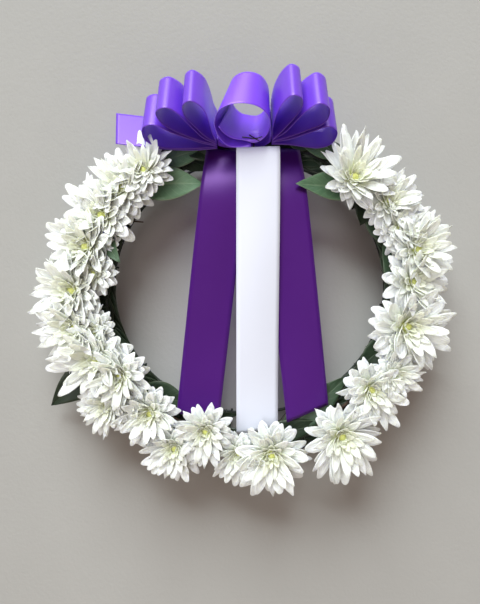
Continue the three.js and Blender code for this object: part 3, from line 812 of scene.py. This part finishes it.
def ribbon_material(name, deep, light, roughness, gloss, sheen):
    """Glossy woven-edge ribbon: a smooth face with very fine lengthwise threads and pale selvedges."""
    material, tree, principled = new_material(name, roughness, Specular_IOR_Level=gloss,
                                              Specular_Tint=sheen)
    place, _, off = place_on_strip(tree)
    edge = map_range(tree, off, 0.482, 0.492, to_high=0.25)
    stretched = add_node(tree, "ShaderNodeVectorMath", [(0, place), (1, (420.0, 5.0, 1.0))],
                         operation="MULTIPLY")
    threads = add_node(tree, "ShaderNodeTexNoise", [("Vector", stretched.outputs[0]), ("Scale", 1.0),
                                                    ("Detail", 2.0)])
    cast = [0.97 * a + 0.03 * b for a, b in zip(deep, light)]
    face = mix_colour(tree, mottle(tree, 30 * MM, 0.3), deep, cast)
    colour = mix_colour(tree, edge, face, light)
    tree.links.new(colour, principled.inputs["Base Color"])
    use_bump(tree, principled, threads.outputs["Fac"], 0.008 * MM)
    return material


VIOLET = ribbon_material("violet_ribbon", (0.165, 0.045, 0.68, 1), (0.45, 0.27, 0.93, 1), 0.38,
                         1.0, (0.95, 0.72, 1.0, 1))


def add_ribbon(bm, line, width, place, columns):
    """A strip of ribbon: place gives each point from its station, its share along and its share across."""
    rows = len(line) - 1
    length = path_length(line)
    made = bmesh.ops.create_grid(bm, x_segments=columns, y_segments=rows, size=0.5, calc_uvs=True)
    uv = bm.loops.layers.uv["UVMap"]
    for face in bm.faces:
        for loop in face.loops:
            loop[uv].uv.y *= length / width
    for vert in made["verts"]:
        share = vert.co.y + 0.5
        vert.co = place(round(share * rows), share, vert.co.x + 0.5)


def in_bow_plane(points):
    """The places of points given in the bow's plane, at its front edge."""
    return [KNOT + Vector((x * MM, 0, 0)) + OUT_OF_BOW * (y * MM) for x, y in points]


def make_bow_strip(name, points, steps, both_ends):
    """One loop of the bow, or its tail. The ribbon is pleated where one or both ends meet the middle."""
    line = smooth_path(in_bow_plane(points), steps)
    length = path_length(line)

    def place(row, share, across):
        before, after = line[max(row - 1, 0)], line[min(row + 1, steps)]
        normal = (after - before).normalized().cross(ACROSS_BOW)
        if name == "bow_loop_centre":
            height = (line[row] - KNOT).dot(OUT_OF_BOW)
            near = abs(line[row].x - KNOT.x - PUCKER_X) / PUCKER_REACH if height < PUCKER_TOP else 1
            gather = PUCKER_DEPTH * max(0, 1 - near) * max(0, 1 - 2 * across) * math.cos(across * PUCKER_WAVE)
        else:
            near = min(share, 1 - share if both_ends else 1) * length / PLEAT_REACH
            gather = PLEAT_DEPTH * max(0, 1 - near) * math.cos(across * PLEAT_WAVE)
        at = line[row] + ACROSS_BOW * (across * BOW_WIDTH) + normal * gather
        if name == "bow_loop_centre":
            at.x += (CENTRE_SHIFT - (line[row].x - CENTRE_MIDDLE) * CENTRE_NARROWING) * across
            # The drop sets in over a short stretch, where the ribbon's inner end begins.
            at -= OUT_OF_BOW * (CENTRE_DROP * across * min(1, max(0, (share - 0.68) / 0.12)))
        if name == "bow_tail":
            at.x += TAIL_CUT * (0.8 - across) * share
        return at

    bm = new_skin()
    add_ribbon(bm, line, BOW_WIDTH, place, columns=20)
    piece = finish_piece(name + "_ribbon", bm, [VIOLET], [name], thickness=RIBBON_THICK)


def make_pleats():
    """The gathered middle of the bow: the ribbon's layers squeezed into fine pleats."""
    bm = new_skin()
    outline = in_bow_plane(BAR_OUTLINE)
    centre = sum(outline, Vector()) / len(outline)
    count = len(outline)
    made = bmesh.ops.create_grid(bm, x_segments=count, y_segments=MIDDLE_ROWS, size=0.5, calc_uvs=True)
    for vert in made["verts"]:
        at = outline[round((vert.co.x + 0.5) * count) % count]
        share = vert.co.y + 0.5
        crease = MIDDLE_CREASE * math.cos(share * MIDDLE_ROWS * math.pi / 2)
        inward = (centre - at).normalized()
        back = BAR_SETBACK + share * (BOW_WIDTH - BAR_SETBACK)
        vert.co = at + inward * (crease + 0.3 * MM) + ACROSS_BOW * back
    bmesh.ops.remove_doubles(bm, verts=bm.verts, dist=1e-6)
    rims = [edge for edge in bm.edges if edge.is_boundary]
    bmesh.ops.holes_fill(bm, edges=rims)
    bmesh.ops.recalc_face_normals(bm, faces=bm.faces)
    finish_piece("bow_pleats", bm, [VIOLET], ["bow_middle"])


make_pleats()
for loop_name, loop_points in BOW_LOOPS.items():
    make_bow_strip(loop_name, loop_points, steps=60, both_ends=True)
make_bow_strip("bow_tail", BOW_TAIL, steps=30, both_ends=False)

TIE_X = 3.5          # the tie's place to the right, in millimetres
TIE_R = 0.6 * MM
# The two twisted ends of the tie, which lie in the front of the centre loop: each point's distance to the
# right, height and distance across the bow.
TIE_ENDS = (((-8, 4.6, 1.5), (-3, 3.6, 2), (2, 3.4, 1), (7, 4.2, 0.5), (11, 6.5, 0)),
            ((-1, 3.2, 6), (2, 3.4, 3), (4, 3.6, 1), (6, 3.8, -1), (8.5, 3.4, -2.5)))
TIE_WIRE = mottled_material("tie_wire", 0.45, 2 * MM, (0.05, 0.05, 0.045, 1), (0.12, 0.12, 0.11, 1),
                            Metallic=0.8)


def tie_point(height, across, right=TIE_X):
    """A point of the tie, in millimetres: its height and distance across the bow, and its place in X."""
    at = KNOT + OUT_OF_BOW * (height * MM) + ACROSS_BOW * (across * MM)
    at.x = right * MM
    return at


def make_tie():
    """The turn of wire round the bow's middle and the two front rings, and its two loose ends."""
    points = [tie_point(-14.5, 2.2), tie_point(-10, 2.2), tie_point(-6.9, 5), tie_point(-6.9, 22),
              tie_point(-6.9, 42), tie_point(-11, 46), tie_point(-17, 44)]
    points += [RING_CENTRE + Vector((TIE_X, y, z)) * MM
               for y, z in ((-20.6, 164), (-20.8, 154), (-21, 147.5), (-25, 142), (-36, 134))]
    smooth = smooth_path(points[-2:] + points + points[:2], 60)
    bm = bmesh.new()
    add_wire(bm, smooth[8:-8], TIE_R)
    for end in TIE_ENDS:
        add_wire(bm, smooth_path([tie_point(height, across, right) for right, height, across in end], 12),
                 TIE_R, taper=0.3)
    finish_piece("tie_twist", bm, [TIE_WIRE], ["bow_tie_wire"])


make_tie()


# ---- Streamers and sash ------------------------------------------------------------------------------
# Three lengths of ribbon tucked up under the bow: two violet ones that swing outward, and between and in
# front of them a white satin sash, left blank. All three hang free down to the bottom of the ring.
PROFILE_STEPS = 240
STREAMER_ROWS = 70
CORNER_DROOP = 6 * MM
STREAMER_CROWN = 1.2 * MM
STREAMER_TWIST = 5 * MM
# Where each hangs, from its start down: depth and height from the ring's centre, in millimetres.
SASH_PROFILE = ((-43, 132), (-48, 134), (-53, 134.2), (-57, 131.5), (-59.6, 123), (-60.2, 104), (-56, 50),
                (-50, 0), (-42, -60), (-36, -105), (-31.5, -150))
VIOLET_PROFILE = ((-37, 137), (-40, 134.5), (-43, 127.5), (-46.5, 118), (-50.2, 107), (-52.7, 95),
                  (-53.8, 80), (-51.6, 50), (-45.8, 0), (-39.5, -60), (-36, -105), (-32.5, -150))
SATIN = ribbon_material("white_satin", (0.63, 0.65, 0.75, 1), (0.78, 0.78, 0.86, 1), 0.45, 0.3,
                        (0.95, 0.95, 1.0, 1))
# The streamers' violet is the bow's violet made darker: painted shade for the ribbons that hang under the
# bow.
SHADED_VIOLET = ribbon_material("shaded_violet_ribbon", (0.08, 0.01, 0.22, 1), (0.24, 0.1, 0.38, 1), 0.36,
                              0.85, (0.66, 0.36, 1.0, 1))


def make_streamer(node, profile, width, length, end_slope, lean, pivot, shift, material):
    """A hanging ribbon. Its end is cut at end_slope, and it leans by turning about a pivot height."""
    whole = smooth_path([Vector((0, y, z)) * MM for y, z in profile], PROFILE_STEPS)
    full = path_length(whole)
    turn = math.radians(lean)

    def place(row, share, across):
        x = (across - 0.5) * width
        # The start droops a little at its outer corner, where the bow no longer holds it.
        corner = max(0, 2 * x / width * math.copysign(1, shift)) ** 2
        droop = CORNER_DROOP * corner * max(0, 1 - 8 * share) if lean else 0
        down = (share * (length + end_slope * x) + droop) / full * PROFILE_STEPS
        at = min(int(down), PROFILE_STEPS - 1)
        point = whole[at].lerp(whole[at + 1], min(down - at, 1))
        bulge = STREAMER_CROWN * math.cos((across - 0.5) * math.pi) * min(1, share * 5)
        bulge += STREAMER_TWIST * (across - 0.5) * math.sin(5 * share + shift)
        z = point.z - pivot * MM
        return RING_CENTRE + Vector((
            x * math.cos(turn) + z * math.sin(turn) + shift * MM,
            point.y - bulge,
            pivot * MM + z * math.cos(turn) - x * math.sin(turn),
        ))

    bm = new_skin()
    stations = [round(i / STREAMER_ROWS * length / full * PROFILE_STEPS) for i in range(STREAMER_ROWS + 1)]
    line = [whole[min(station, PROFILE_STEPS)] for station in stations]
    add_ribbon(bm, line, width, place, columns=10)
    piece = finish_piece(node + "_ribbon", bm, [material], [node], thickness=RIBBON_THICK)


make_streamer("sash", SASH_PROFILE, width=42 * MM, length=297 * MM, end_slope=-0.2, lean=0, pivot=0,
              shift=7.4, material=SATIN)
make_streamer("streamer_left", VIOLET_PROFILE, width=44 * MM, length=276 * MM, end_slope=0, lean=6.6,
              pivot=125, shift=-22.8, material=SHADED_VIOLET)
make_streamer("streamer_right", VIOLET_PROFILE, width=44 * MM, length=273 * MM, end_slope=-0.3, lean=-6.6,
              pivot=116, shift=30, material=SHADED_VIOLET)


# ---- Setting -----------------------------------------------------------------------------------------
# A plain pale wall that the wreath hangs on, seen from the front only, and a plain pale floor far below. A
# soft key light is above. From the front come a warm fill and a light on the plants and the sash, and a
# faint light behind shows the back of the wreath.
def wall_material():
    """Smooth pale plaster that is clear from behind and to shadow rays, so that the back is seen and lit."""
    material = mottled_material("pale_wall", 0.8, 0.25, (0.47, 0.465, 0.455, 1), (0.52, 0.515, 0.505, 1),
                                grain=(4 * MM, 0.15 * MM), softness=0.3, Specular_IOR_Level=0.2)
    tree = material.node_tree
    plaster = tree.nodes["Principled BSDF"].outputs["BSDF"]
    clear = add_node(tree, "ShaderNodeBsdfTransparent").outputs["BSDF"]
    behind = add_node(tree, "ShaderNodeNewGeometry").outputs["Backfacing"]
    shadow = add_node(tree, "ShaderNodeLightPath").outputs["Is Shadow Ray"]
    either = compute(tree, "MAXIMUM", behind, shadow)
    mix = add_node(tree, "ShaderNodeMixShader", [(0, either), (1, plaster), (2, clear)])
    tree.links.new(mix.outputs[0], tree.nodes["Material Output"].inputs["Surface"])
    return material


def make_plane(name, low, high, material):
    """A flat stage panel between two corners, level in the one direction in which they agree."""
    bm = bmesh.new()
    made = bmesh.ops.create_grid(bm, x_segments=1, y_segments=1, size=0.5)["verts"]
    flat = [i for i in range(3) if low[i] != high[i]]
    for vert in made:
        place = Vector(low)
        place[flat[0]] += (vert.co.x + 0.5) * (high[flat[0]] - low[flat[0]])
        place[flat[1]] += (vert.co.y + 0.5) * (high[flat[1]] - low[flat[1]])
        vert.co = place
    plane = new_object(name, bm, [material])


FLOOR_Z = -1.6
PALE_FLOOR = mottled_material("pale_floor", 0.7, 0.4, (0.46, 0.37, 0.31, 1), (0.52, 0.42, 0.35, 1),
                              softness=0.3)
make_plane("wall", (-2.5, 0.001, FLOOR_Z), (2.5, 0.001, 2.2), wall_material())
make_plane("floor", (-3, -3, FLOOR_Z), (3, 3, FLOOR_Z), PALE_FLOOR)
LIT_MIDDLE = Vector((0, 0, -0.15))


def add_area_light(name, place, size, power, colour):
    """A soft square panel light at a place, turned to the middle of the wreath."""
    lamp = bpy.data.lights.new(name, "AREA")
    lamp.shape = "SQUARE"
    lamp.size = size
    lamp.energy = power
    lamp.color = colour
    holder = bpy.data.objects.new(name, lamp)
    holder.location = place
    holder.rotation_euler = (LIT_MIDDLE - Vector(place)).to_track_quat("-Z", "Y").to_euler()
    bpy.context.scene.collection.objects.link(holder)
    return holder


add_area_light("key", (-1.1, -3.4, 5.1), 4.2, 650, (0.93, 1.0, 0.99))
front = add_area_light("front", (-1.1, -2.6, -0.1), 2.2, 54, (0.98, 1.0, 1.0))
add_area_light("fill", (0.2, -2.4, -0.1), 2.0, 4.5, (1.0, 0.82, 0.75))
add_area_light("back", (0.3, 1.2, 0.5), 1.2, 12, (1.0, 1.0, 1.0))
# The front light only lifts the shadows among the petals and leaves, on the sash and in the centre loop.
lifted = bpy.data.collections.new("lifted_by_front_light")
for piece in bpy.context.scene.objects:
    if piece.name.startswith(("bloom_", "small_bud", "twig_", "sash", "bow_loop_centre")):
        lifted.objects.link(piece)
front.light_linking.receiver_collection = lifted
world = bpy.data.worlds.new("surroundings")
world.use_nodes = True
background = world.node_tree.nodes["Background"]
background.inputs["Color"].default_value = (1.0, 0.55, 0.45, 1)
background.inputs["Strength"].default_value = 0.09
bpy.context.scene.world = world
bpy.context.scene.view_settings.view_transform = "Standard"

camera_data = bpy.data.cameras.new("camera")
camera_data.lens = 29.4
camera_data.sensor_width = 36
camera = bpy.data.objects.new("camera", camera_data)
camera.location = RING_CENTRE + Vector((-10, -533, -17)) * MM
camera.rotation_euler = (math.radians(90), 0, 0)
bpy.context.scene.collection.objects.link(camera)
bpy.context.scene.camera = camera
